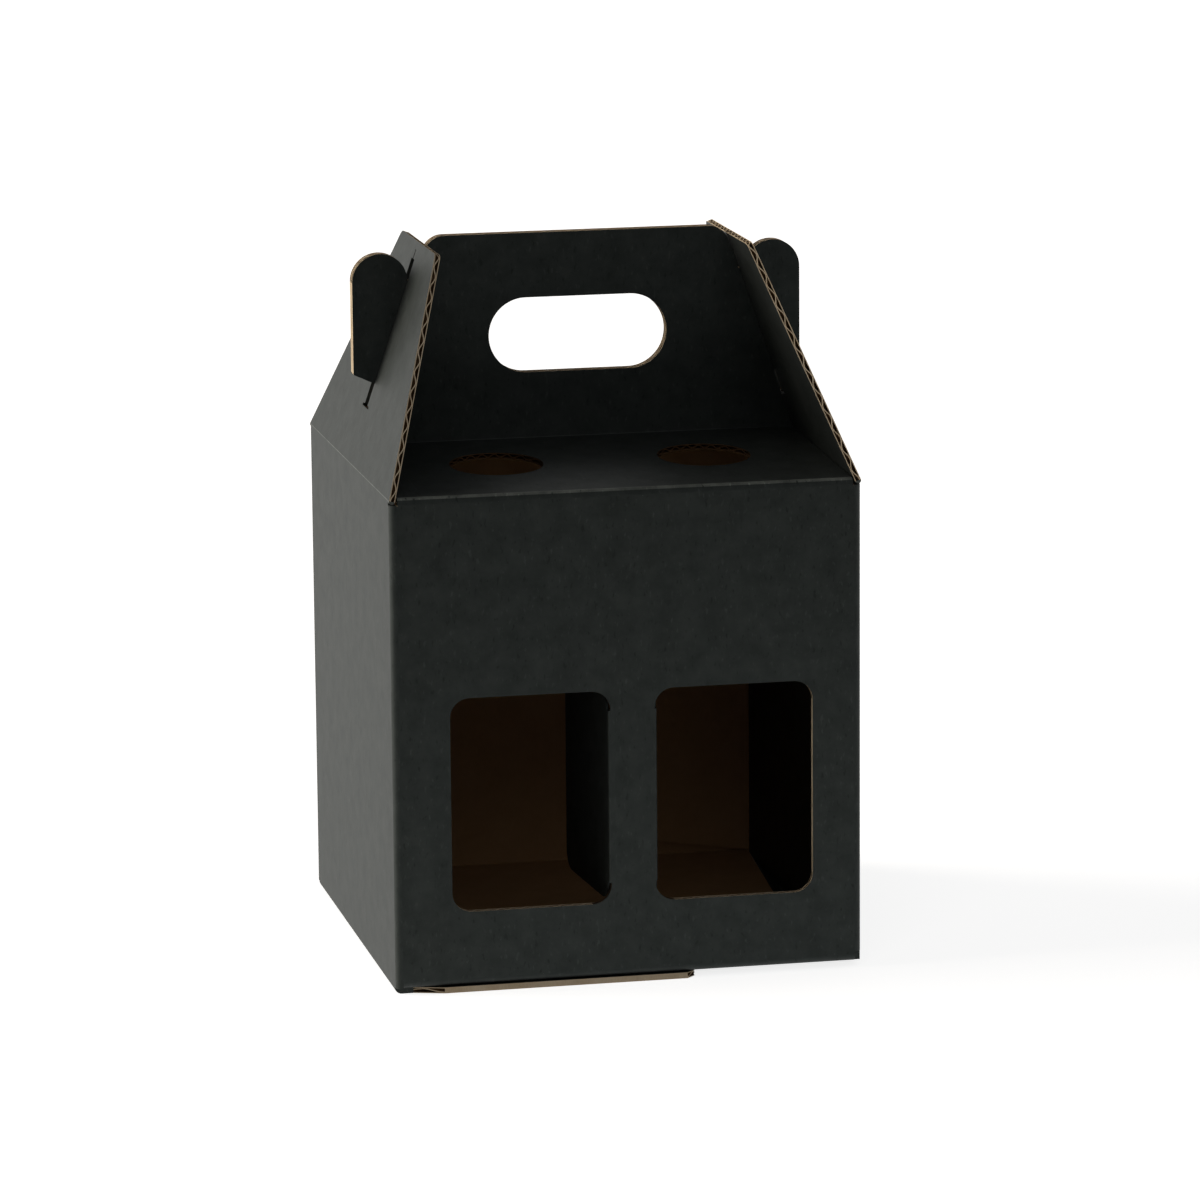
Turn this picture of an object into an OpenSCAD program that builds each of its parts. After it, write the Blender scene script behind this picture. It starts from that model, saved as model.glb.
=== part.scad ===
/* [Board] */
// Thickness of the corrugated board
board_t = 1.7; // [1.4:0.1:2.2]
// Inside radius of every fold
fold_r = 0.3; // [0.2:0.1:0.8]
// Distance from one flute of the board to the next
flute_pitch = 3.5; // [3:0.1:4.5]
// Thickness of each liner and of the fluted sheet between them
paper_t = 0.25; // [0.2:0.05:0.35]
// Crushed strip beside the fold of a gable, where the flutes end
crush_w = 2.5; // [1.5:0.5:5]
// Depth that a fold is pressed in by, on each face of the board
crease_t = 0.08; // [0.05:0.01:0.2]

/* [Box] */
// Width across the front
body_w = 134; // [126:1:170]
// Depth from front to back
body_d = 134; // [126:1:170]
// Height of the front's top fold above the surface that the box stands on
body_h = 141.3; // [115:0.1:200]
// Width of the glued flap that closes the sheet into a tube
glue_w = 35; // [20:1:40]

/* [Windows] */
// Width of one window
window_w = 45.5; // [30:0.5:50]
// Height of one window
window_h = 61; // [40:0.5:80]
// Radius of the window's corners, and of the free corners of its flap
window_r = 5.5; // [2:0.5:10]
// Radius of the window's corners beside the fold of its flap
hinge_r = 5.5; // [2:0.5:8]
// Height of the window's lower edge above the surface that the box stands on
window_rise = 23.2; // [15:0.1:40]
// Width of the strip of board between the two windows
mullion_w = 12.6; // [8:0.2:20]
// Angle that the window's flap is folded in by
flap_angle = 88.9; // [60:0.1:90]

/* [Deck] */
// Slope of the deck from the box's edge up to the handle
deck_slope = 3.7; // [0:0.1:8]
// Diameter of a hole for a bottle's neck
neck_d = 26.6; // [20:0.2:32]
// Distance between two necks across the box
neck_span_x = 60; // [50:1:70]
// Distance between two necks from front to back
neck_span_y = 63; // [50:1:70]

/* [Handle] */
// Height of the handle above the box's top fold
handle_h = 63.3; // [58:0.1:80]
// Radius of the handle's top corners
handle_r = 6; // [3:0.5:10]
// Width of the hand hole
grip_w = 52; // [40:1:60]
// Height of the hand hole, which has round ends
grip_h = 21.6; // [18:0.2:26]
// Height of the hand hole's middle above the box's top fold
grip_rise = 33.9; // [28:0.1:40]

/* [Gables] */
// Angle that a gable leans inward by
gable_lean = 18.9; // [14:0.1:22]
// Length of a gable from its fold to its top edge
gable_l = 65.7; // [63:0.1:75]
// Length of the gable's top edge
gable_top_w = 52; // [35:1:70]
// Radius of the gable's top corners
gable_r = 3; // [1:0.5:8]

/* [Ears] */
// Distance of the ear's outer edge inside the side of the box
ear_inset = 1.7; // [0.5:0.1:4]
// Radius of the ear's round head
ear_r = 8; // [6:0.5:9]
// Height of the ear's foot above the box's top fold, at its outer edge
ear_foot = 24.4; // [20:0.1:32]
// Slope of the ear's foot
ear_foot_slope = 25; // [0:1:35]
// Distance from a gable's fold to the foot of its slot
slot_foot = 16.5; // [10:0.5:19]
// Board left between the top of the slot and the gable's top edge
slot_margin = 5; // [4.5:0.5:8]
// Length of the fine slit above the slot
slit_l = 2.8; // [1:0.2:4]
// Width of the fine slits
slit_w = 0.8; // [0.4:0.1:1.2]
// Length of the cross cut that stops the slot from tearing
stop_cut_l = 9; // [6:0.5:14]

/* [Bottom] */
// Length of the long flap, which the left side carries
long_flap_l = 84; // [74:1:90]
// Length of the tongue on the long flap
tongue_l = 10; // [9:1:16]
// Angle that the tongue is bent up by
tongue_angle = 32; // [28:1:45]
// Length of the front and back flaps, which lie on the long flap
inner_flap_l = 54; // [44:1:56]
// Distance of the short flap, which the right side carries, from the front of the box
short_flap_inset = 14; // [11:1:20]
// Distance of the other ends of the flaps from the corners of the box
flap_inset = 3; // [3:0.5:8]
// Cut across the corners of the flaps
flap_cut = 5; // [3:0.5:8]

/* [Clearances] */
// Gap between two layers of board that lie on each other
layer_gap = 0.3; // [0.2:0.05:0.6]
// Gap between an ear and its slot, and between a gable and what it lies against
slide_gap = 0.35; // [0.3:0.05:0.6]
// Gap between the side of the box and its gable at the fold
hinge_gap = 0.3; // [0.2:0.05:0.5]

/* [Hidden] */
$fn = 64;
board_black = [0.15, 0.16, 0.155];

// Folds: the outside radius, the angle that they reach into the panels by, and the bottom's two levels
bend_r = fold_r + board_t;
fold_lap = 8;
outer_level = 0;
inner_level = board_t + layer_gap;
wall_top = body_h - bend_r;

// Bottom: the tongue fits between the front and back flaps, and lies over the end of the short flap
tongue_w = body_d - 2 * (bend_r + inner_flap_l + 3 * slide_gap);
tongue_cut = tongue_w / 6;
short_flap_l = body_w - 2 * bend_r - long_flap_l - inner_level / tan(tongue_angle);

// Gable: its fold runs along the middle of the board, and its inner face holds the deck and handle
fold_x = body_w / 2 - board_t / 2;
fold_z = wall_top + hinge_gap + board_t / 2;
gable_base_w = body_d - 2 * slide_gap;
function gable_face_x(z) = fold_x - (z - fold_z) * tan(gable_lean) - board_t / 2 / cos(gable_lean);
function edge_x(z) = gable_face_x(z) - slide_gap;

// Deck and handle: the sheet's run from the top fold to the handle, which is two layers thick
handle_half_t = board_t + layer_gap / 2;
bend_sum = bend_r + fold_r;
deck_l = (body_d / 2 - handle_half_t - bend_sum * (1 - sin(deck_slope))) / cos(deck_slope);
deck_turn = 90 - deck_slope;
handle_foot = wall_top + bend_sum * cos(deck_slope) + deck_l * sin(deck_slope);
handle_top = body_h + handle_h;
neck_run = (body_d / 2 - neck_span_y / 2 - bend_r * (1 - sin(deck_slope))) / cos(deck_slope);

// Slot and ear: the ear's head is as far from the gable's fold as the slot that clears it allows
slot_w = 2 * (handle_half_t + slide_gap);
slot_top = gable_l - slot_margin;
ear_x = body_w / 2 - ear_inset;
ear_head_x = ear_x - ear_r;
ear_head_z = fold_z + sqrt(pow(slot_top - slide_gap - ear_r, 2) - pow(fold_x - ear_head_x, 2));

// Rounded outlines with true arcs

module rounded_box(w, h, r_left, r_right) {
  for (end = [[-1, r_left], [1, r_right]])
    for (side = [-1, 1])
      translate([end[0] * (w / 2 - end[1]), side * (h / 2 - end[1])]) circle(end[1]);
  translate([-w / 2, r_left - h / 2]) square([w / 2, h - 2 * r_left]);
  translate([0, r_right - h / 2]) square([w / 2, h - 2 * r_right]);
  translate([r_left - w / 2, -h / 2]) square([w - r_left - r_right, h]);
}

module stadium(w, h) {
  for (side = [-1, 1]) translate([side * (w - h) / 2, 0]) circle(h / 2);
  square([w - h, h], center = true);
}

// A trapezium that stands on its long side, with its two top corners rounded
module rounded_trapezium(base_w, top_w, h, r) {
  slope = atan((base_w - top_w) / 2 / h);
  middle_x = top_w / 2 + r * tan(slope) - r / cos(slope);
  side_point = [middle_x + r * cos(slope), h - r + r * sin(slope)];
  for (side = [-1, 1]) translate([side * middle_x, h - r]) circle(r);
  polygon([
    [-base_w / 2, 0], [base_w / 2, 0], side_point, [middle_x, h],
    [-middle_x, h], [-side_point[0], side_point[1]]
  ]);
}

// Sheet work: a panel lies in the XY plane with its outer face up, and runs on along +Y

module panel() translate([0, 0, -board_t]) linear_extrude(board_t) children();

// The pressed strip of a fold, which reaches a little into the panels on both sides of it
module fold_strip(w, angle)
  rotate([0, -90, 0])
    rotate(-fold_lap)
      rotate_extrude(angle = angle + 2 * fold_lap)
        translate([fold_r + crease_t, -w / 2]) square([board_t - 2 * crease_t, w]);

// Fold with the outer face outside, and what follows it
module fold_in(w, angle) {
  translate([0, 0, -bend_r]) {
    fold_strip(w, angle);
    rotate([-angle, 0, 0]) translate([0, 0, bend_r]) children();
  }
}

// Fold with the outer face inside, and what follows it
module fold_out(w, angle) {
  translate([0, 0, fold_r]) {
    mirror([0, 0, 1]) fold_strip(w, angle);
    rotate([angle, 0, 0]) translate([0, 0, -fold_r]) children();
  }
}

// A wall stands on the XY plane, facing the front and then turned about the box's middle
module wall(turn, distance) rotate(turn) translate([0, -distance, 0]) rotate([90, 0, 0]) children();

module bottom_flap(level, w)
  translate([0, level + bend_r, 0]) mirror([0, 1, 0]) fold_in(w - 2 * crease_t, 90) children();

// Front and back: inner bottom flap, wall, deck and one layer of the handle

module window_opening() {
  hinge_x = mullion_w / 2;
  for (side = [-1, 1])
    translate([side * (hinge_x + window_w / 2), window_rise + window_h / 2])
      mirror([side < 0 ? 1 : 0, 0]) rounded_box(window_w, window_h, hinge_r, window_r);
}

module window_flaps() {
  flap_l = window_w - bend_r - slide_gap;
  fold_w = window_h - 2 * hinge_r;
  for (side = [-1, 1])
    translate([side * mullion_w / 2, window_rise + window_h / 2, 0])
      rotate(-side * 90)
        fold_in(fold_w, flap_angle)
          panel() {
            translate([-fold_w / 2, 0]) square([fold_w, flap_l / 2]);
            rotate(90)
              translate([flap_l / 2, 0])
                rounded_box(flap_l, window_h - 2 * slide_gap, hinge_r, window_r);
          }
}

module deck_outline() {
  start_w = edge_x(body_h);
  end_w = edge_x(handle_foot);
  difference() {
    polygon([[-start_w, 0], [start_w, 0], [end_w, deck_l], [-end_w, deck_l]]);
    for (side = [-1, 1]) translate([side * neck_span_x / 2, neck_run]) circle(d = neck_d);
  }
}

module ear_outline(side) {
  inner_low = body_h + ear_foot - (ear_x - edge_x(body_h + ear_foot)) * tan(ear_foot_slope);
  mirror([side < 0 ? 1 : 0, 0]) {
    translate([ear_head_x, ear_head_z]) circle(ear_r);
    polygon([
      [ear_x, ear_head_z], [ear_x, body_h + ear_foot], [edge_x(body_h + ear_foot), inner_low],
      [edge_x(body_h + ear_foot) - ear_r, inner_low],
      [edge_x(ear_head_z) - ear_r, ear_head_z], [ear_head_x, ear_head_z]
    ]);
  }
}

module handle_outline() {
  difference() {
    union() {
      translate([0, handle_foot])
        rounded_trapezium(2 * edge_x(handle_foot), 2 * edge_x(handle_top), handle_top - handle_foot, handle_r);
      for (side = [-1, 1]) ear_outline(side);
    }
    translate([0, body_h + grip_rise]) stadium(grip_w, grip_h);
  }
}

// A bottom flap whose sides draw in towards its end
module flap_outline(w, length)
  polygon([
    [-w / 2, 0], [w / 2, 0],
    [w / 2 - flap_cut, length], [flap_cut - w / 2, length]
  ]);

// One end of the sheet: windows only in the front, and a plain edge where the glued flap lies
module end_panels(turn, left_end, right_end, windows) {
  wall_foot = inner_level + bend_r;
  flap_w = body_w - 2 * flap_inset;
  wall(turn, body_d / 2) {
    panel() difference() {
      translate([-left_end, wall_foot]) square([left_end + right_end, wall_top - wall_foot]);
      if (windows) window_opening();
    }
    if (windows) window_flaps();
    bottom_flap(inner_level, flap_w) panel() flap_outline(flap_w, inner_flap_l);
    translate([0, wall_top, 0])
      fold_in(2 * edge_x(body_h), deck_turn) {
        panel() deck_outline();
        translate([0, deck_l, 0])
          fold_out(2 * edge_x(handle_foot), deck_turn)
            translate([0, -handle_foot, 0]) panel() handle_outline();
      }
  }
}

// Sides: the left one carries the long bottom flap, the right one the short flap

module long_flap_outline() {
  fold_half_w = body_d / 2 - flap_inset;
  half_w = body_d / 2 - slide_gap;
  widened = half_w - fold_half_w;
  polygon([
    [-fold_half_w, 0], [fold_half_w, 0],
    [fold_half_w, flap_cut], [half_w, flap_cut + widened],
    [half_w, long_flap_l - flap_cut / 2], [half_w - flap_cut / 2, long_flap_l],
    [-half_w + flap_cut / 2, long_flap_l], [-half_w, long_flap_l - flap_cut / 2],
    [-half_w, flap_cut + widened], [-fold_half_w, flap_cut]
  ]);
}

module tongue_outline()
  polygon([
    [-tongue_w / 2, 0], [tongue_w / 2, 0],
    [tongue_w / 2 - tongue_cut, tongue_l], [tongue_cut - tongue_w / 2, tongue_l]
  ]);

module left_side() {
  wall_foot = outer_level + bend_r;
  half_w = body_d / 2 - bend_r;
  fold_w = body_d - 2 * flap_inset;
  wall(-90, body_w / 2) {
    panel() translate([-half_w, wall_foot]) square([2 * half_w, wall_top - wall_foot]);
    bottom_flap(outer_level, fold_w) {
      panel() long_flap_outline();
      translate([0, long_flap_l, 0]) rotate([-tongue_angle, 0, 0]) panel() tongue_outline();
    }
  }
}

module right_side() {
  wall_foot = outer_level + bend_r;
  front_end = body_d / 2 - bend_r;
  back_end = front_end - board_t;
  flap_w = body_d - short_flap_inset - flap_inset - board_t;
  flap_y = (short_flap_inset - flap_inset - board_t) / 2;
  wall(90, body_w / 2) {
    panel() translate([-front_end, wall_foot]) square([front_end + back_end, wall_top - wall_foot]);
    translate([flap_y, 0, 0]) bottom_flap(outer_level, flap_w) panel() flap_outline(flap_w, short_flap_l);
  }
}

// Upright folds of the tube, and the flap that is glued inside the back

module upright_fold(x, y, turn, foot)
  translate([x, y, foot])
    rotate(turn - fold_lap)
      rotate_extrude(angle = 90 + 2 * fold_lap)
        translate([fold_r + crease_t, 0]) square([board_t - 2 * crease_t, wall_top - foot]);

module glue_flap() {
  start = bend_r - body_w / 2;
  low = inner_level + bend_r;
  wall(180, body_d / 2 - board_t)
    panel()
      polygon([
        [start, low], [start + glue_w, low + flap_cut],
        [start + glue_w, wall_top - flap_cut], [start, wall_top]
      ]);
}

module carrier() {
  side_x = body_w / 2 - bend_r;
  end_y = body_d / 2 - bend_r;
  color(board_black) {
    end_panels(0, side_x, side_x, true);
    end_panels(180, body_w / 2, side_x, false);
    left_side();
    right_side();
    upright_fold(-side_x, -end_y, 180, bend_r);
    upright_fold(side_x, -end_y, 270, inner_level + bend_r + board_t / 2);
    upright_fold(-side_x, end_y, 90, bend_r);
    upright_fold(side_x, end_y - board_t, 0, bend_r);
    glue_flap();
  }
}

// Gables: fluted board, drawn flat with the fold along X and the run along Y

// Middle line of the fluted sheet, and one channel on either side of it
wave_h = board_t / 2 - paper_t;
wave_steps = 6;
glue_share = 0.1;
function wave(share) = (wave_h - paper_t / 2) * cos(360 * share) + paper_t / 2;
function channel(middle, side) =
  let (
    shares = [for (i = [0:wave_steps]) glue_share + (1 - 2 * glue_share) * i / wave_steps],
    low = [for (s = shares) [middle + (s - 0.5) * flute_pitch, side * wave(s)]],
    reach = (0.5 - glue_share) * flute_pitch
  )
  concat(low, [[middle + reach, side * wave_h], [middle - reach, side * wave_h]]);

module flute_section() {
  count = floor(gable_base_w / 2 / flute_pitch);
  difference() {
    square([gable_base_w, board_t], center = true);
    for (i = [-count:count - 1]) {
      polygon(channel((i + 0.25) * flute_pitch, 1));
      polygon(channel((i + 0.75) * flute_pitch, -1));
    }
  }
}

module gable_slot() {
  translate([-slot_w / 2, slot_foot]) square([slot_w, slot_top - slot_foot]);
  translate([-slit_w / 2, slot_foot]) square([slit_w, slot_top + slit_l - slot_foot]);
  translate([-stop_cut_l / 2, slot_foot - slit_w / 2]) square([stop_cut_l, slit_w]);
}

module gable_blank() {
  intersection() {
    translate([0, gable_l, 0]) rotate([90, 0, 0]) linear_extrude(gable_l - crush_w) flute_section();
    linear_extrude(2 * board_t, center = true) difference() {
      rounded_trapezium(gable_base_w, gable_top_w, gable_l, gable_r);
      gable_slot();
    }
  }
  rotate([0, 90, 0]) cylinder(d = board_t, h = gable_base_w, center = true);
  linear_extrude(board_t, center = true)
    intersection() {
      rounded_trapezium(gable_base_w, gable_top_w, gable_l, gable_r);
      translate([-gable_base_w / 2, 0]) square([gable_base_w, crush_w]);
    }
}

// A gable on its fold, leaning inward over the side that it belongs to
module gable(turn)
  color(board_black)
    rotate(turn)
      translate([0, -fold_x, fold_z])
        rotate([90 - gable_lean, 0, 0])
          gable_blank();

module left_gable() gable(-90);

module right_gable() gable(90);

carrier();
left_gable();
right_gable();
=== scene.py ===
import math

import bpy
from mathutils import Matrix


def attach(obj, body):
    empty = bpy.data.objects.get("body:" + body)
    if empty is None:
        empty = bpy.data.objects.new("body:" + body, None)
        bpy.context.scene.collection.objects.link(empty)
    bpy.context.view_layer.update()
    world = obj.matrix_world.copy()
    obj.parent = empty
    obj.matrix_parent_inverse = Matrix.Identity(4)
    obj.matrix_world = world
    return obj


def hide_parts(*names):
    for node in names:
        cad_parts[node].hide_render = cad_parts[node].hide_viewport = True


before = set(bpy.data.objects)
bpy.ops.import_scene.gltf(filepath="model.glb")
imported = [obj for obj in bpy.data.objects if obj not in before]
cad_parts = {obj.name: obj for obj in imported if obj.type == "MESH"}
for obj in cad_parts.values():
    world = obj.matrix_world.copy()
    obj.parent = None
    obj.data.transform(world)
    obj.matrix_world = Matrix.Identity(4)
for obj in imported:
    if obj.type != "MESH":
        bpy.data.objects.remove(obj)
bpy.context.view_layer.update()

# Board: thin corrugated board, two kraft paper liners glued to a fluted sheet between them.
# The flutes run up and down the box, so an edge that is cut across them shows open waves.
# The outer liner is flooded with black ink before the sheet is cut, creased and folded.
MM = 0.001
BOARD_T = 1.7
PAPER_T = 0.25
FLUTE_PITCH = 3.5
FLUTE_FACETS = 8
FOLD_R = 0.3
BEND_R = FOLD_R + BOARD_T
FOLD_FACET_DEG = 6
MOTTLE_MM, FLECK_MM, FLECK_STRETCH = 7.0, 1.1, 2.5
INK_RELIEF_MM, FLUTE_SHARE = 0.03, 0.12
BLOTCH_MM, FIBRE_STRETCH, FIBRE_RELIEF_MM = 9.0, 5.0, 0.02
SAME = 1e-4


def linear(hex_colour):
    """Turns an sRGB hex value into a linear colour with alpha."""
    parts = [int(hex_colour[i:i + 2], 16) / 255 for i in (1, 3, 5)]
    return [p / 12.92 if p <= 0.04045 else ((p + 0.055) / 1.055) ** 2.4 for p in parts] + [1.0]


def add(tree, kind, inputs=(), **settings):
    """Adds a node, sets its own settings, and gives its inputs a value or a link."""
    made = tree.nodes.new(kind)
    for name, value in settings.items():
        setattr(made, name, value)
    for key, value in dict(inputs).items():
        if isinstance(value, bpy.types.NodeSocket):
            tree.links.new(value, made.inputs[key])
        else:
            made.inputs[key].default_value = value
    return made


def new_paper(name):
    """A material with its shader, and the place on the flat sheet in millimetres."""
    made = bpy.data.materials.new(name)
    made.use_nodes = True
    tree = made.node_tree
    place = add(tree, "ShaderNodeUVMap", uv_map="sheet_mm").outputs["UV"]
    return made, tree, tree.nodes["Principled BSDF"], place


def printed_liner(name, ink, paler):
    """Kraft liner flooded with matt black ink: a soft mottle where the paper drank it unevenly,
    short upright flecks where fibres stand out of the ink, and a faint relief of the flutes."""
    made, tree, shader, place = new_paper(name)
    mottle = add(tree, "ShaderNodeTexNoise", {
        "Vector": place, "Scale": 1 / MOTTLE_MM, "Detail": 4.0, "Roughness": 0.6}).outputs["Fac"]
    upright = add(tree, "ShaderNodeVectorMath", {0: place, 1: (1.0, 1 / FLECK_STRETCH, 1.0)},
                  operation="MULTIPLY").outputs["Vector"]
    grain = add(tree, "ShaderNodeTexNoise", {
        "Vector": upright, "Scale": 1 / FLECK_MM, "Detail": 2.0}).outputs["Fac"]
    across = add(tree, "ShaderNodeSeparateXYZ", {"Vector": place}).outputs["X"]
    turns = add(tree, "ShaderNodeMath", {0: across, 1: math.tau / FLUTE_PITCH},
                operation="MULTIPLY").outputs[0]
    flute = add(tree, "ShaderNodeMath", {0: turns}, operation="COSINE").outputs[0]
    cloud = add(tree, "ShaderNodeMapRange", {
        "Value": mottle, "From Min": 0.3, "From Max": 0.7, "To Min": 0.14, "To Max": 0.6}).outputs[0]
    speck = add(tree, "ShaderNodeMapRange", {
        "Value": grain, "From Min": 0.62, "From Max": 0.73, "To Min": 0.0, "To Max": 0.45}).outputs[0]
    pit = add(tree, "ShaderNodeMapRange", {
        "Value": grain, "From Min": 0.38, "From Max": 0.27, "To Min": 0.0, "To Max": -0.4}).outputs[0]
    tone = add(tree, "ShaderNodeMath", {0: cloud, 1: speck}, operation="ADD").outputs[0]
    tone = add(tree, "ShaderNodeMath", {0: tone, 1: pit}, operation="ADD", use_clamp=True).outputs[0]
    # The ink turns towards the paler colour with the tone; in the worn print that paler colour is a
    # painted highlight.
    colour = add(tree, "ShaderNodeMix", {
        "Factor": tone, "A": linear(ink), "B": linear(paler)}, data_type="RGBA")
    sheen = add(tree, "ShaderNodeMapRange", {"Value": tone, "To Min": 0.31, "To Max": 0.56}).outputs[0]
    height = add(tree, "ShaderNodeMath", {0: flute, 1: FLUTE_SHARE, 2: grain},
                 operation="MULTIPLY_ADD").outputs[0]
    bump = add(tree, "ShaderNodeBump", {
        "Height": height, "Strength": 0.25, "Distance": INK_RELIEF_MM * MM})
    tree.links.new(colour.outputs["Result"], shader.inputs["Base Color"])
    tree.links.new(sheen, shader.inputs["Specular IOR Level"])
    tree.links.new(bump.outputs["Normal"], shader.inputs["Normal"])
    shader.inputs["Roughness"].default_value = 0.6
    shader.inputs["Specular Tint"].default_value = linear("#ecfbf6")
    return made


def bare_kraft(name, pale, dark, fibre_mm):
    """Unprinted kraft paper: warm brown with long fibres, darker blotches and a dry matt face."""
    made, tree, shader, place = new_paper(name)
    along = add(tree, "ShaderNodeVectorMath", {
        0: place, 1: (1 / fibre_mm, 1 / fibre_mm / FIBRE_STRETCH, 1.0)},
        operation="MULTIPLY").outputs["Vector"]
    fibres = add(tree, "ShaderNodeTexNoise", {
        "Vector": along, "Scale": 1.0, "Detail": 4.0, "Roughness": 0.65}).outputs["Fac"]
    blotch = add(tree, "ShaderNodeTexNoise", {
        "Vector": place, "Scale": 1 / BLOTCH_MM, "Detail": 3.0}).outputs["Fac"]
    both = add(tree, "ShaderNodeMath", {0: fibres, 1: 0.65, 2: blotch},
               operation="MULTIPLY_ADD").outputs[0]
    share = add(tree, "ShaderNodeMapRange", {
        "Value": both, "From Min": 0.45, "From Max": 1.2}).outputs[0]
    colour = add(tree, "ShaderNodeMix", {
        "Factor": share, "A": linear(pale), "B": linear(dark)}, data_type="RGBA")
    bump = add(tree, "ShaderNodeBump", {
        "Height": fibres, "Strength": 0.5, "Distance": FIBRE_RELIEF_MM * MM})
    tree.links.new(colour.outputs["Result"], shader.inputs["Base Color"])
    tree.links.new(bump.outputs["Normal"], shader.inputs["Normal"])
    shader.inputs["Roughness"].default_value = 0.85
    shader.inputs["Specular IOR Level"].default_value = 0.2
    return made


# Flooded liner: a dull black that turns grey at a shallow angle, finely flecked upright.
black_print = printed_liner("black_printed_kraft_liner", "#131514", "#242625")
# The same ink cracked along a fold, where the paper shows through as a thin pale line; that pale colour
# is also a painted highlight along the fold.
worn_print_and_highlight = printed_liner("black_print_cracked_with_painted_highlight_along_a_fold", "#262927", "#80847f")
# Bare liner: a warm, dry brown.
kraft_inside = bare_kraft("bare_kraft_liner", "#aa8661", "#9e7a53", 0.5)
# Cut edges of the papers: pale lines, because raw fibre ends scatter the light.
kraft_edge = bare_kraft("cut_kraft_paper_edge", "#f0dfc4", "#cfb592", 0.3)
# Faces of the fluted sheet: a deep brown, because little light reaches between the liners.
kraft_flute = bare_kraft("fluted_kraft_paper_in_shade", "#5c4227", "#3e2b17", 0.5)
PRINT, WORN_HIGHLIGHT, INSIDE, EDGE, FLUTE = range(5)


class Sheet:
    """The faces of one piece of board, each with its paper and its place on the flat sheet."""

    def __init__(self, inside):
        self.points, self.faces, self.papers, self.places, self.round = [], [], [], [], []
        self.inside = inside

    def face(self, at, corners, paper, places=None, smooth=False):
        first = len(self.points)
        self.points += [(at @ Matrix.Translation(c)).translation * MM for c in corners]
        self.faces.append(range(first, first + len(corners)))
        self.papers.append(paper)
        self.places += places or [(c[0], c[1]) for c in corners]
        self.round.append(smooth)

    def make(self, name, body, node):
        mesh = bpy.data.meshes.new(name)
        mesh.from_pydata(self.points, [], self.faces)
        for paper in (black_print, worn_print_and_highlight, self.inside, kraft_edge, kraft_flute):
            mesh.materials.append(paper)
        mesh.polygons.foreach_set("material_index", self.papers)
        mesh.polygons.foreach_set("use_smooth", self.round)
        layer = mesh.uv_layers.new(name="sheet_mm")
        layer.data.foreach_set("uv", [n for place in self.places for n in place])
        piece = bpy.data.objects.new(name, mesh)
        bpy.context.scene.collection.objects.link(piece)
        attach(piece, body)
        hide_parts(node)


def flute_height(x):
    """Middle of the fluted sheet below the outer face, and half its thickness there."""
    turn = math.tau * x / FLUTE_PITCH
    rise = (BOARD_T - 3 * PAPER_T) / 2
    slope = rise * math.tau / FLUTE_PITCH * math.sin(turn)
    return rise * math.cos(turn) - BOARD_T / 2, PAPER_T / 2 * math.hypot(1, slope)


def panel(sheet, at, outline, *holes, edge=EDGE, hole_edge=EDGE, shaded=0.0):
    """A flat panel of board: outer face on the XY plane, flutes along Y, cut to an outline
    that runs anticlockwise, with holes that run clockwise. The cut edges of a hole that are
    nearer the middle than the shaded distance take the print's black as painted shade."""
    sides = [(a, b, edge) for a, b in zip(outline, outline[1:] + outline[:1])]
    for hole in holes:
        for a, b in zip(hole, hole[1:] + hole[:1]):
            # Painted shade: hole edges near the middle take the print's black.
            sides.append((a, b, PRINT if abs(a[0] + b[0]) / 2 < shaded else hole_edge))
    lines = {round(a[0], 5) for a, b, paper in sides}
    step = FLUTE_PITCH / FLUTE_FACETS
    lines |= {i * step for i in range(math.ceil(min(lines) / step), math.floor(max(lines) / step) + 1)}
    lines = sorted(lines)
    lines = lines[:1] + [b for a, b in zip(lines, lines[1:]) if b - a > SAME]
    for x0, x1 in zip(lines, lines[1:]):
        middle = (x0 + x1) / 2
        cuts = []
        for a, b, paper in sides:
            if min(a[0], b[0]) < middle < max(a[0], b[0]):
                slope = (b[1] - a[1]) / (b[0] - a[0])
                cuts.append((a[1] + slope * (x0 - a[0]), a[1] + slope * (x1 - a[0]), paper))
        cuts.sort(key=lambda cut: cut[0] + cut[1])
        (h0, t0), (h1, t1) = flute_height(x0), flute_height(x1)
        papers = [((0, 0), (-PAPER_T, -PAPER_T), PRINT, FLUTE),
                  ((h0 + t0, h1 + t1), (h0 - t0, h1 - t1), FLUTE, FLUTE),
                  ((PAPER_T - BOARD_T,) * 2, (-BOARD_T,) * 2, FLUTE, INSIDE)]
        for (a0, a1, low), (b0, b1, high) in zip(cuts[::2], cuts[1::2]):
            for (u0, u1), (d0, d1), over, under in papers:
                sheet.face(at, [(x0, a0, u0), (x1, a1, u1), (x1, b1, u1), (x0, b0, u0)], over)
                sheet.face(at, [(x0, b0, d0), (x1, b1, d1), (x1, a1, d1), (x0, a0, d0)], under)
                sheet.face(at, [(x0, a0, d0), (x1, a1, d1), (x1, a1, u1), (x0, a0, u0)], low,
                           [(x0, d0), (x1, d1), (x1, u1), (x0, u0)])
                sheet.face(at, [(x1, b1, d1), (x0, b0, d0), (x0, b0, u0), (x1, b1, u1)], high,
                           [(x1, d1), (x0, d0), (x0, u0), (x1, u1)])
    for a, b, paper in sides:
        if abs(a[0] - b[0]) < SAME:
            sheet.face(at, [(*a, -BOARD_T), (*b, -BOARD_T), (*b, 0), (*a, 0)], paper,
                       [(a[1], -BOARD_T), (b[1], -BOARD_T), (b[1], 0), (a[1], 0)])


def turned(angle, axis):
    return Matrix.Rotation(math.radians(angle), 4, axis)


def moved(x, y, z):
    return Matrix.Translation((x, y, z))


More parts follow.
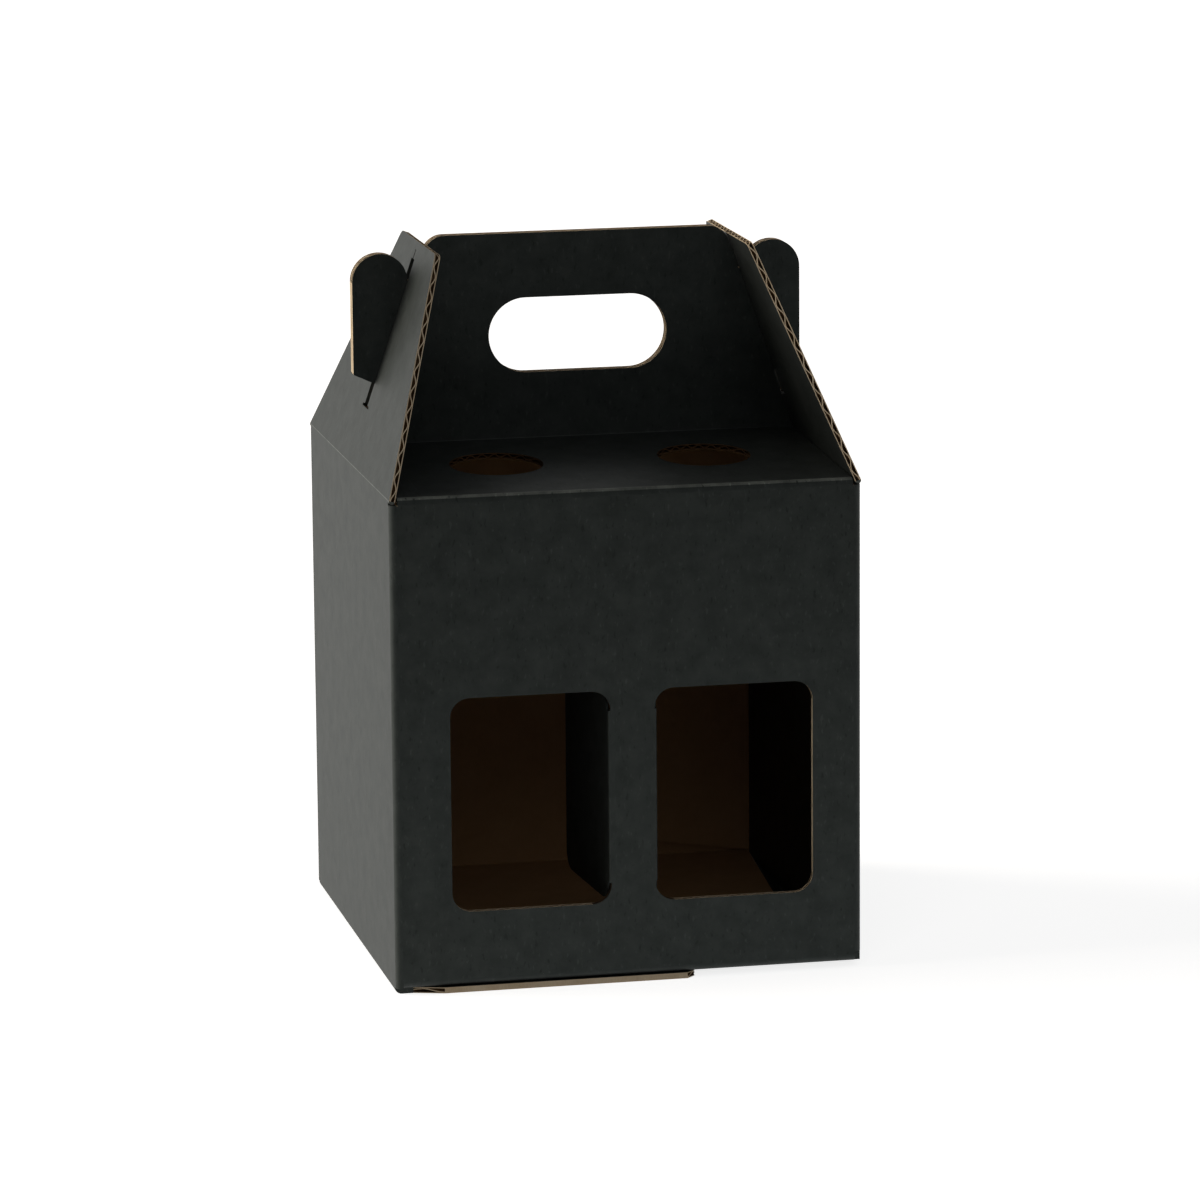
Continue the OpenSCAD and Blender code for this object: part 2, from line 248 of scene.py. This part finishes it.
def fold(sheet, at, start, end, angle, outward=False, upright=False, corner_r=BEND_R, paper=PRINT):
    """A pressed fold along X from start to end, which gives the place of the next panel.
    The outer face is outside the bend, or inside it where outward, and the second half of the
    bend shows the given paper. The flutes run across the fold, or along it where upright."""
    sign = -1 if outward else 1
    middle_z = FOLD_R if outward else -BEND_R
    turn = math.radians(angle)
    steps = max(3, round(angle / FOLD_FACET_DEG))

    def profile(r, corner):
        run = (r - corner) * math.tan(turn / 2)
        turns = [turn * i / steps for i in range(steps + 1)]
        arc = [(run + corner * math.sin(t), r - corner + corner * math.cos(t)) for t in turns]
        if run:
            arc = [(0, r)] + arc + [(r * math.sin(turn), r * math.cos(turn))]
        return [(y, middle_z + sign * z) for y, z in arc]

    def strip(line, liners):
        along = 0.0
        for (y0, z0), (y1, z1), liner in zip(line, line[1:], liners):
            next_along = along + math.hypot(y1 - y0, z1 - z0)
            places = [(start, along), (end, along), (end, next_along), (start, next_along)]
            sheet.face(at, [(start, y0, z0), (end, y0, z0), (end, y1, z1), (start, y1, z1)], liner,
                       [place[::-1] if upright else place for place in places], smooth=True)
            along = next_along

    print_r, bare_r = (FOLD_R, BEND_R) if outward else (BEND_R, FOLD_R)
    outer = profile(print_r, min(print_r, corner_r))
    inner = profile(bare_r, bare_r)
    # The second half of the outer bend takes the given paper; with the worn print this is a painted
    # highlight where the bend faces up.
    strip(outer, [PRINT] * (len(outer) // 2) + [paper] * len(outer))
    strip(inner[::-1], [INSIDE] * len(inner))
    rim = outer + inner[::-1]
    # The two ends of the bend take the print's black instead of bare kraft: painted shade.
    sheet.face(at, [(start, y, z) for y, z in rim], PRINT, rim)
    sheet.face(at, [(end, y, z) for y, z in reversed(rim)], PRINT, rim)
    return at @ moved(0, 0, middle_z) @ turned(-sign * angle, "X") @ moved(0, 0, -middle_z)


# Front: the wall with two windows, the bottom flap below it, and above it the deck with two
# neck holes and the front layer of the handle with its ears, all of one sheet of the board.
# Each window's own flap stays on the strip between the windows and is folded inward.
BODY_W = BODY_D = 134.0
BODY_H = 141.3
LAYER_GAP, SLIDE_GAP, HINGE_GAP = 0.3, 0.35, 0.3
SIDE_X = BODY_W / 2 - BEND_R
WALL_TOP = BODY_H - BEND_R
INNER_LEVEL = BOARD_T + LAYER_GAP
FLAP_CUT, INNER_FLAP_L = 5.0, 54.0
INNER_FLAP_HALF = SIDE_X + 0.2
WINDOW_W, WINDOW_H, WINDOW_R, HINGE_R = 45.5, 61.0, 5.5, 5.5
WINDOW_RISE, WINDOW_MID, MULLION_W = 23.2, 1.05, 12.6
WINDOW_TURN, PRESSED_R, HINGE_NICK = 86.2, 0.7, 0.3
PRESSED_RUN = (BEND_R - PRESSED_R) * math.tan(math.radians(WINDOW_TURN / 2))
HINGE_HALF = WINDOW_H / 2 - HINGE_R - HINGE_NICK
GABLE_LEAN = 18.9
GABLE_FOLD_X = BODY_W / 2 - BOARD_T / 2
GABLE_FOLD_Z = WALL_TOP + HINGE_GAP + BOARD_T / 2
DECK_RISE = 3.7
DECK_TURN = 90 - DECK_RISE
DECK_L = 63.08
NECK_D, NECK_X, NECK_RUN, NECK_FACETS = 26.6, 30.0, 33.7, 72
HANDLE_FOOT = (WALL_TOP + (BEND_R + FOLD_R) * math.sin(math.radians(DECK_TURN))
               + DECK_L * math.cos(math.radians(DECK_TURN)))
HANDLE_TOP = BODY_H + 63.3
HANDLE_R = 6.0
GRIP_W, GRIP_H, GRIP_Z = 52.0, 21.6, BODY_H + 33.9
EAR_X, EAR_R, EAR_FOOT_Z, EAR_HEAD_Z = 65.3, 8.0, 165.7, 192.05
EAR_FOOT_R, EAR_FOOT_SLOPE = 0.6, 25
ARC_FACET_MM = 0.6


def rounded(corners):
    """An outline through corners (x, y, radius), with each radius drawn as an arc."""
    outline = []
    for i, (x, y, r) in enumerate(corners):
        if not r:
            outline.append((x, y))
            continue
        before, after = corners[i - 1], corners[(i + 1) % len(corners)]
        way_in = math.atan2(y - before[1], x - before[0])
        way_out = math.atan2(after[1] - y, after[0] - x)
        bend = (way_out - way_in + math.pi) % math.tau - math.pi
        side = math.copysign(math.pi / 2, bend)
        reach = r * math.tan(abs(bend) / 2)
        mid_x = x - reach * math.cos(way_in) + r * math.cos(way_in + side)
        mid_y = y - reach * math.sin(way_in) + r * math.sin(way_in + side)
        steps = max(4, round(abs(bend) * r / ARC_FACET_MM))
        for k in range(steps + 1):
            heading = way_in + bend * k / steps - side
            outline.append((mid_x + r * math.cos(heading), mid_y + r * math.sin(heading)))
    return outline


def wall_place(turn, distance):
    return turned(turn, "Z") @ moved(0, -distance, 0) @ turned(90, "X")


def edge_x(z):
    """Edge of the deck and handle, just inside the face of a gable."""
    lean = math.radians(GABLE_LEAN)
    run = (z - GABLE_FOLD_Z) * math.tan(lean) + BOARD_T / 2 / math.cos(lean)
    return GABLE_FOLD_X - run - SLIDE_GAP


def neck_hole(x):
    turns = [math.tau * i / NECK_FACETS for i in range(NECK_FACETS)]
    return [(x + NECK_D / 2 * math.cos(t), NECK_RUN - NECK_D / 2 * math.sin(t)) for t in turns]


def handle_loops():
    """The outline of a handle layer with its two ears, and the hand hole."""
    slope = math.tan(math.radians(EAR_FOOT_SLOPE))
    lean = math.tan(math.radians(GABLE_LEAN))
    low_x = (edge_x(EAR_FOOT_Z) + EAR_X * slope * lean) / (1 + slope * lean)
    low_z = EAR_FOOT_Z - (EAR_X - low_x) * slope
    right = [(edge_x(HANDLE_FOOT), HANDLE_FOOT, 0), (low_x, low_z, 0), (EAR_X, EAR_FOOT_Z, EAR_FOOT_R),
             (EAR_X, EAR_HEAD_Z + EAR_R, EAR_R), (EAR_X - 2 * EAR_R, EAR_HEAD_Z + EAR_R, EAR_R),
             (EAR_X - 2 * EAR_R, EAR_HEAD_Z, 0), (edge_x(EAR_HEAD_Z), EAR_HEAD_Z, 0),
             (edge_x(HANDLE_TOP), HANDLE_TOP, HANDLE_R)]
    outline = right + [(-x, z, r) for x, z, r in reversed(right)]
    # Just under half the height, so that the two arcs of a round end don't cross.
    grip_r = GRIP_H / 2 - 0.001
    grip = [(sx * GRIP_W / 2, GRIP_Z + sz * GRIP_H / 2, grip_r)
            for sx, sz in ((-1, -1), (-1, 1), (1, 1), (1, -1))]
    return [[(x, z - HANDLE_FOOT) for x, z in rounded(loop)] for loop in (outline, grip)]


def flap_loop(half, length):
    return [(-half, 0), (half, 0), (half - FLAP_CUT, length), (FLAP_CUT - half, length)]


def end_of_sheet(sheet, turn, left_end, right_end, *windows):
    """A front or back wall with its bottom flap, its deck and its layer of the handle."""
    at = wall_place(turn, BODY_D / 2)
    foot = INNER_LEVEL + BEND_R
    # The window edges beside the flaps' folds are painted black as shade.
    panel(sheet, at, [(-left_end, foot), (right_end, foot), (right_end, WALL_TOP),
                      (-left_end, WALL_TOP)], *windows, shaded=MULLION_W / 2 + HINGE_R + WINDOW_MID)
    below = fold(sheet, at @ moved(0, foot, 0) @ turned(180, "Z"), -INNER_FLAP_HALF, INNER_FLAP_HALF, 90)
    panel(sheet, below, flap_loop(INNER_FLAP_HALF, INNER_FLAP_L))
    near, far = edge_x(BODY_H), edge_x(HANDLE_FOOT)
    deck = fold(sheet, at @ moved(0, WALL_TOP, 0), -near, near, DECK_TURN, paper=WORN_HIGHLIGHT)
    # The neck holes' cut edges take the deep brown of the shaded flutes: painted shade.
    panel(sheet, deck, [(-near, 0), (near, 0), (far, DECK_L), (-far, DECK_L)],
          neck_hole(-NECK_X), neck_hole(NECK_X), hole_edge=FLUTE)
    handle = fold(sheet, deck @ moved(0, DECK_L, 0), -far, far, DECK_TURN, outward=True)
    panel(sheet, handle, *handle_loops())
    return at


def window_loop(side):
    """A window, whose side towards the middle is the fold of its flap."""
    fold_x, near, far = [WINDOW_MID + side * (MULLION_W / 2 + x) for x in (-PRESSED_RUN, 0, WINDOW_W)]
    low, high, middle = WINDOW_RISE, WINDOW_RISE + WINDOW_H, WINDOW_RISE + WINDOW_H / 2
    loop = [(near, low, HINGE_R), (near, middle - HINGE_HALF, 0), (fold_x, middle - HINGE_HALF, 0),
            (fold_x, middle + HINGE_HALF, 0), (near, middle + HINGE_HALF, 0), (near, high, HINGE_R),
            (far, high, WINDOW_R), (far, low, WINDOW_R)]
    return rounded(loop if side > 0 else loop[::-1])


front = Sheet(kraft_inside)
front_at = end_of_sheet(front, 0, SIDE_X, SIDE_X, window_loop(-1), window_loop(1))
for side in (-1, 1):
    fold_x = WINDOW_MID + side * (MULLION_W / 2 - PRESSED_RUN)
    fold_at = front_at @ moved(fold_x, WINDOW_RISE + WINDOW_H / 2, 0) @ turned(-side * 90, "Z")
    flap_at = fold(front, fold_at, -HINGE_HALF, HINGE_HALF, WINDOW_TURN, upright=True, corner_r=PRESSED_R)
    high, length = WINDOW_H / 2 - SLIDE_GAP, WINDOW_W - BEND_R - SLIDE_GAP
    loop = [(0, -high, HINGE_R), (length, -high, WINDOW_R), (length, high, WINDOW_R), (0, high, HINGE_R)]
    if side < 0:
        loop = [(-x, y, r) for x, y, r in reversed(loop)]
    # The flap's cut edges take the print's black instead of bare kraft: painted shade inside the box.
    panel(front, flap_at @ turned(side * 90, "Z"), rounded(loop), edge=PRINT)
front.make("front_deck_and_handle_layer", "carrier", "carrier")

# Back: the same wall, flap, deck and handle layer of the board, without windows. Its end
# beside the right side is a cut edge, and the right side's flap is glued inside it.
back = Sheet(kraft_inside)
end_of_sheet(back, 180, BODY_W / 2, SIDE_X)
back.make("back_deck_and_handle_layer", "carrier", "carrier")

# Left side: a plain wall of the board, black on both faces, that ends at the fold of its
# gable. It carries the long bottom flap that the box stands on, and the tongue at the end
# of that flap, bent up between the front and back flaps, keeps the box shut.
FLAP_INSET = 3.0
LONG_FLAP_L, LONG_ROOT_L, LONG_TAPER_L = 84.0, 3.3, 8.5
TONGUE_L, TONGUE_ANGLE = 9.0, 20.0
TONGUE_W = BODY_D - 2 * (BEND_R + INNER_FLAP_L + 3 * SLIDE_GAP)
TONGUE_CUT = TONGUE_W / 6


def side_wall(sheet, at, left_end, right_end):
    """A side wall, whose top reaches up to the middle of its gable's fold."""
    # Its cut edges take the print's black instead of bare kraft: painted shade.
    panel(sheet, at, [(-left_end, BEND_R), (right_end, BEND_R), (right_end, GABLE_FOLD_Z),
                      (-left_end, GABLE_FOLD_Z)], edge=PRINT)


left = Sheet(black_print)
left_at = wall_place(-90, BODY_W / 2)
side_wall(left, left_at, SIDE_X, SIDE_X)
narrow, wide = BODY_D / 2 - FLAP_INSET, BODY_D / 2 - SLIDE_GAP
long_at = fold(left, left_at @ moved(0, BEND_R, 0) @ turned(180, "Z"), -narrow, narrow, 90)
# The root's cut edges take the print's black instead of bare kraft: painted shade under the wall.
panel(left, long_at, [(-narrow, 0), (narrow, 0), (narrow, LONG_ROOT_L), (-narrow, LONG_ROOT_L)],
      edge=PRINT)
right_half = [(narrow, LONG_ROOT_L), (wide, LONG_ROOT_L + LONG_TAPER_L),
              (wide, LONG_FLAP_L - FLAP_CUT / 2), (wide - FLAP_CUT / 2, LONG_FLAP_L)]
panel(left, long_at, right_half + [(-x, y) for x, y in reversed(right_half)])
tongue_at = long_at @ moved(0, LONG_FLAP_L, 0) @ turned(-TONGUE_ANGLE, "X")
panel(left, tongue_at, [(-TONGUE_W / 2, 0), (TONGUE_W / 2, 0), (TONGUE_W / 2 - TONGUE_CUT, TONGUE_L),
                        (TONGUE_CUT - TONGUE_W / 2, TONGUE_L)])
left.make("left_side_and_long_bottom_flap", "carrier", "carrier")

# Right side: a plain wall like the left one, with a short bottom flap that ends under the
# tongue. The flap at its back end is the same board, bare inside, and is glued in the back.
SHORT_FLAP_INSET, GLUE_W = 14.0, 35.0
SHORT_FLAP_L = BODY_W - 2 * BEND_R - LONG_FLAP_L - INNER_LEVEL / math.tan(math.radians(TONGUE_ANGLE))
SHORT_FLAP_HALF = (BODY_D - SHORT_FLAP_INSET - FLAP_INSET - BOARD_T) / 2
SHORT_FLAP_MID = (SHORT_FLAP_INSET - FLAP_INSET - BOARD_T) / 2
BACK_END = SIDE_X - BOARD_T
right = Sheet(black_print)
right_at = wall_place(90, BODY_W / 2)
side_wall(right, right_at, SIDE_X, BACK_END)
short_at = fold(right, right_at @ moved(SHORT_FLAP_MID, BEND_R, 0) @ turned(180, "Z"),
                -SHORT_FLAP_HALF, SHORT_FLAP_HALF, 90)
panel(right, short_at, flap_loop(SHORT_FLAP_HALF, SHORT_FLAP_L))
right.make("right_side_and_short_bottom_flap", "carrier", "carrier")

glued = Sheet(kraft_inside)
glue_at = fold(glued, right_at @ moved(BACK_END, 0, 0) @ turned(-90, "Z"),
               -WALL_TOP, -BEND_R, 90, upright=True) @ turned(90, "Z")
glue_foot = INNER_LEVEL + BEND_R
panel(glued, glue_at, [(0, glue_foot), (GLUE_W, glue_foot + FLAP_CUT),
                       (GLUE_W, WALL_TOP - FLAP_CUT), (0, WALL_TOP)])
glued.make("glued_flap", "carrier", "carrier")

# Upright folds: the three corners where the printed board runs round the box unbroken.
# They are creased along the flutes, and the front right one is notched at its foot.
NOTCH_Z = INNER_LEVEL + BEND_R + BOARD_T / 2
corners = Sheet(kraft_inside)
fold(corners, front_at @ moved(-SIDE_X, 0, 0) @ turned(90, "Z"), BEND_R, WALL_TOP, 90, upright=True)
fold(corners, front_at @ moved(SIDE_X, 0, 0) @ turned(-90, "Z"), -WALL_TOP, -NOTCH_Z, 90, upright=True)
fold(corners, left_at @ moved(-SIDE_X, 0, 0) @ turned(90, "Z"), BEND_R, WALL_TOP, 90, upright=True)
corners.make("upright_folds", "carrier", "carrier")

# Gables: the two top flaps of the sides, of the same board and black on both faces. Each
# leans on the edges of deck and handle, and an ear comes out through its slot and holds it.
GABLE_L, GABLE_TOP_W, GABLE_R = 65.7, 52.0, 3.0
GABLE_BASE_W = BODY_D - 2 * SLIDE_GAP
SLOT_FOOT, SLOT_TOP, SLOT_W = 16.5, 60.7, 4.4
SLIT_L, SLIT_W, STOP_CUT_L = 2.8, 0.8, 9.0
BEAD_FACETS = 20


def gable(name, turn):
    """A gable with its slot, whose cut edges are painted black as shade, and the bead of its fold,
    cracked ink with a painted highlight.
    """
    sheet = Sheet(black_print)
    axis = turned(turn, "Z") @ moved(0, -GABLE_FOLD_X, GABLE_FOLD_Z) @ turned(90 - GABLE_LEAN, "X")
    half, top = GABLE_BASE_W / 2, GABLE_TOP_W / 2
    outline = rounded([(-half, 0, 0), (half, 0, 0), (top, GABLE_L, GABLE_R), (-top, GABLE_L, GABLE_R)])
    cut = [(STOP_CUT_L / 2, SLOT_FOOT - SLIT_W / 2), (STOP_CUT_L / 2, SLOT_FOOT + SLIT_W / 2),
           (SLOT_W / 2, SLOT_FOOT + SLIT_W / 2), (SLOT_W / 2, SLOT_TOP), (SLIT_W / 2, SLOT_TOP),
           (SLIT_W / 2, SLOT_TOP + SLIT_L)]
    slot = [(-x, y) for x, y in cut] + cut[::-1]
    # The slot's cut edges take the print's black instead of bare kraft: painted shade in the slot.
    panel(sheet, axis @ moved(0, 0, BOARD_T / 2), outline, slot, hole_edge=PRINT)
    bead = [math.pi * i / BEAD_FACETS for i in range(BEAD_FACETS + 1)]
    for t0, t1 in zip(bead, bead[1:]):
        (y0, z0), (y1, z1) = [(-BOARD_T / 2 * math.sin(t), BOARD_T / 2 * math.cos(t)) for t in (t0, t1)]
        # The bead is the cracked ink with a painted highlight along the fold.
        sheet.face(axis, [(half, y0, z0), (-half, y0, z0), (-half, y1, z1), (half, y1, z1)], WORN_HIGHLIGHT,
                   [(half, t0), (-half, t0), (-half, t1), (half, t1)], smooth=True)
        for x in (-half, half):
            sheet.face(axis, [(x, 0, 0), (x, y0, z0), (x, y1, z1)], WORN_HIGHLIGHT)
    sheet.make(name, name, name)


gable("left_gable", -90)
gable("right_gable", 90)

# Studio: a white paper sweep in a white room, which keeps the carrier's shadow. One broad
# soft light stands at the left and a weak one in front, and the camera has a long lens.
# Gloss sees the side of the camera as dim, as if the room ended there.
FLOOR_HALF = 12.0
SWEEP_LIFT = 0.8
SWEEP_END, SWEEP_FADE, FRONT_DIM = -0.36, 0.22, 0.1
UNDER_HALF, UNDER_FADE = 0.05, 0.005
floor_mesh = bpy.data.meshes.new("floor")
floor_mesh.from_pydata([(-FLOOR_HALF, -FLOOR_HALF, 0), (FLOOR_HALF, -FLOOR_HALF, 0),
                        (FLOOR_HALF, FLOOR_HALF, 0), (-FLOOR_HALF, FLOOR_HALF, 0)], [], [(0, 1, 2, 3)])
floor = bpy.data.objects.new("floor", floor_mesh)
bpy.context.scene.collection.objects.link(floor)


def seen_rays(tree):
    """Two switches: for rays from the camera, and for those and what gloss or glass sends on."""
    rays = add(tree, "ShaderNodeLightPath").outputs
    seen = add(tree, "ShaderNodeMath", {0: rays["Is Camera Ray"], 1: rays["Is Glossy Ray"]},
               operation="MAXIMUM").outputs[0]
    seen = add(tree, "ShaderNodeMath", {0: seen, 1: rays["Is Transmission Ray"]},
               operation="MAXIMUM").outputs[0]
    return rays["Is Camera Ray"], seen


# Matt paper: an even white with no gloss, lifted to the white of the room where it is seen,
# and left dark under the carrier, where no light falls.
white_sweep = bpy.data.materials.new("matt_white_paper_sweep")
white_sweep.use_nodes = True
tree = white_sweep.node_tree
sweep = tree.nodes["Principled BSDF"]
sweep.inputs["Roughness"].default_value = 0.9
sweep.inputs["Specular IOR Level"].default_value = 0.0
sweep.inputs["Emission Color"].default_value = linear("#ffffff")
eye, seen = seen_rays(tree)
spot = add(tree, "ShaderNodeNewGeometry").outputs["Position"]
ground = add(tree, "ShaderNodeSeparateXYZ", {"Vector": spot}).outputs
white = add(tree, "ShaderNodeMapRange", {
    "Value": ground["Y"], "From Min": SWEEP_END - SWEEP_FADE, "From Max": SWEEP_END, "To Min": FRONT_DIM,
    "To Max": 1.0}, interpolation_type="SMOOTHSTEP").outputs[0]
white = add(tree, "ShaderNodeMath", {0: white, 1: eye}, operation="MAXIMUM").outputs[0]
tint = add(tree, "ShaderNodeMix", {
    "Factor": white, "A": linear("#202020"), "B": linear("#f2f2f2")}, data_type="RGBA")
lift = add(tree, "ShaderNodeMath", {0: seen, 1: SWEEP_LIFT}, operation="MULTIPLY").outputs[0]
glow = add(tree, "ShaderNodeMath", {0: lift, 1: white}, operation="MULTIPLY").outputs[0]
reach = [add(tree, "ShaderNodeMath", {0: ground[axis]}, operation="ABSOLUTE").outputs[0] for axis in "XY"]
reach = add(tree, "ShaderNodeMath", {0: reach[0], 1: reach[1]}, operation="MAXIMUM").outputs[0]
open_floor = add(tree, "ShaderNodeMapRange", {
    "Value": reach, "From Min": UNDER_HALF - UNDER_FADE, "From Max": UNDER_HALF}).outputs[0]
glow = add(tree, "ShaderNodeMath", {0: glow, 1: open_floor}, operation="MULTIPLY").outputs[0]
tree.links.new(tint.outputs["Result"], sweep.inputs["Base Color"])
tree.links.new(glow, sweep.inputs["Emission Strength"])
floor_mesh.materials.append(white_sweep)

AMBIENT, ROOM_TOP = 0.3, 0.15
CEILING_LOW, CEILING_HIGH = 0.3, 0.7
DIM_END, DIM_START = -0.5, 0.1
world = bpy.data.worlds.new("white_studio_with_a_dim_ceiling")
world.use_nodes = True
bpy.context.scene.world = world
tree = world.node_tree
eye, seen = seen_rays(tree)
way = add(tree, "ShaderNodeTexCoord").outputs["Generated"]
parts = add(tree, "ShaderNodeSeparateXYZ", {"Vector": way}).outputs
room = add(tree, "ShaderNodeMapRange", {
    "Value": parts["Z"], "From Min": CEILING_LOW, "From Max": CEILING_HIGH, "To Min": 1.0,
    "To Max": ROOM_TOP}, interpolation_type="SMOOTHSTEP").outputs[0]
ahead = add(tree, "ShaderNodeMapRange", {
    "Value": parts["Y"], "From Min": DIM_END, "From Max": DIM_START, "To Min": FRONT_DIM,
    "To Max": 1.0}, interpolation_type="SMOOTHSTEP").outputs[0]
ahead = add(tree, "ShaderNodeMath", {0: ahead, 1: eye}, operation="MAXIMUM").outputs[0]
level = add(tree, "ShaderNodeMapRange", {"Value": seen, "To Min": AMBIENT, "To Max": 1.0}).outputs[0]
strength = add(tree, "ShaderNodeMath", {0: room, 1: level}, operation="MULTIPLY").outputs[0]
strength = add(tree, "ShaderNodeMath", {0: strength, 1: ahead}, operation="MULTIPLY").outputs[0]
tree.links.new(strength, tree.nodes["Background"].inputs["Strength"])
tree.nodes["Background"].inputs["Color"].default_value = linear("#ffffff")


def soft_light(name, azimuth, elevation, spread, strength, tint):
    """A broad lamp far away, so that the whole sweep is lit evenly."""
    lamp = bpy.data.lights.new(name, "SUN")
    lamp.color = linear(tint)[:3]
    lamp.angle = math.radians(spread)
    lamp.energy = strength
    made = bpy.data.objects.new(name, lamp)
    bpy.context.scene.collection.objects.link(made)
    made.matrix_world = turned(azimuth, "Z") @ turned(90 - elevation, "X")


soft_light("left_soft_light", azimuth=-106, elevation=18, spread=44, strength=2.4, tint="#fff6e8")
soft_light("front_fill", azimuth=0, elevation=42, spread=60, strength=0.45, tint="#ffffff")

LENS_PX, FRAME_PX = 6107, 1200
AZIMUTH, ELEVATION, ROLL = -11.94, 11.26, -0.49
DISTANCE = 1.767
LOOKED_AT = (0.0062, 0, 0.0965)
camera_data = bpy.data.cameras.new("camera")
camera_data.sensor_width = 36.0
camera_data.lens = LENS_PX / FRAME_PX * camera_data.sensor_width
camera_data.clip_end = 50.0
camera = bpy.data.objects.new("camera", camera_data)
bpy.context.scene.collection.objects.link(camera)
camera.matrix_world = (
    moved(*LOOKED_AT) @ turned(AZIMUTH, "Z") @ turned(90 - ELEVATION, "X")
    @ turned(ROLL, "Z") @ moved(0, 0, DISTANCE))
bpy.context.scene.camera = camera
bpy.context.scene.view_settings.view_transform = "Standard"
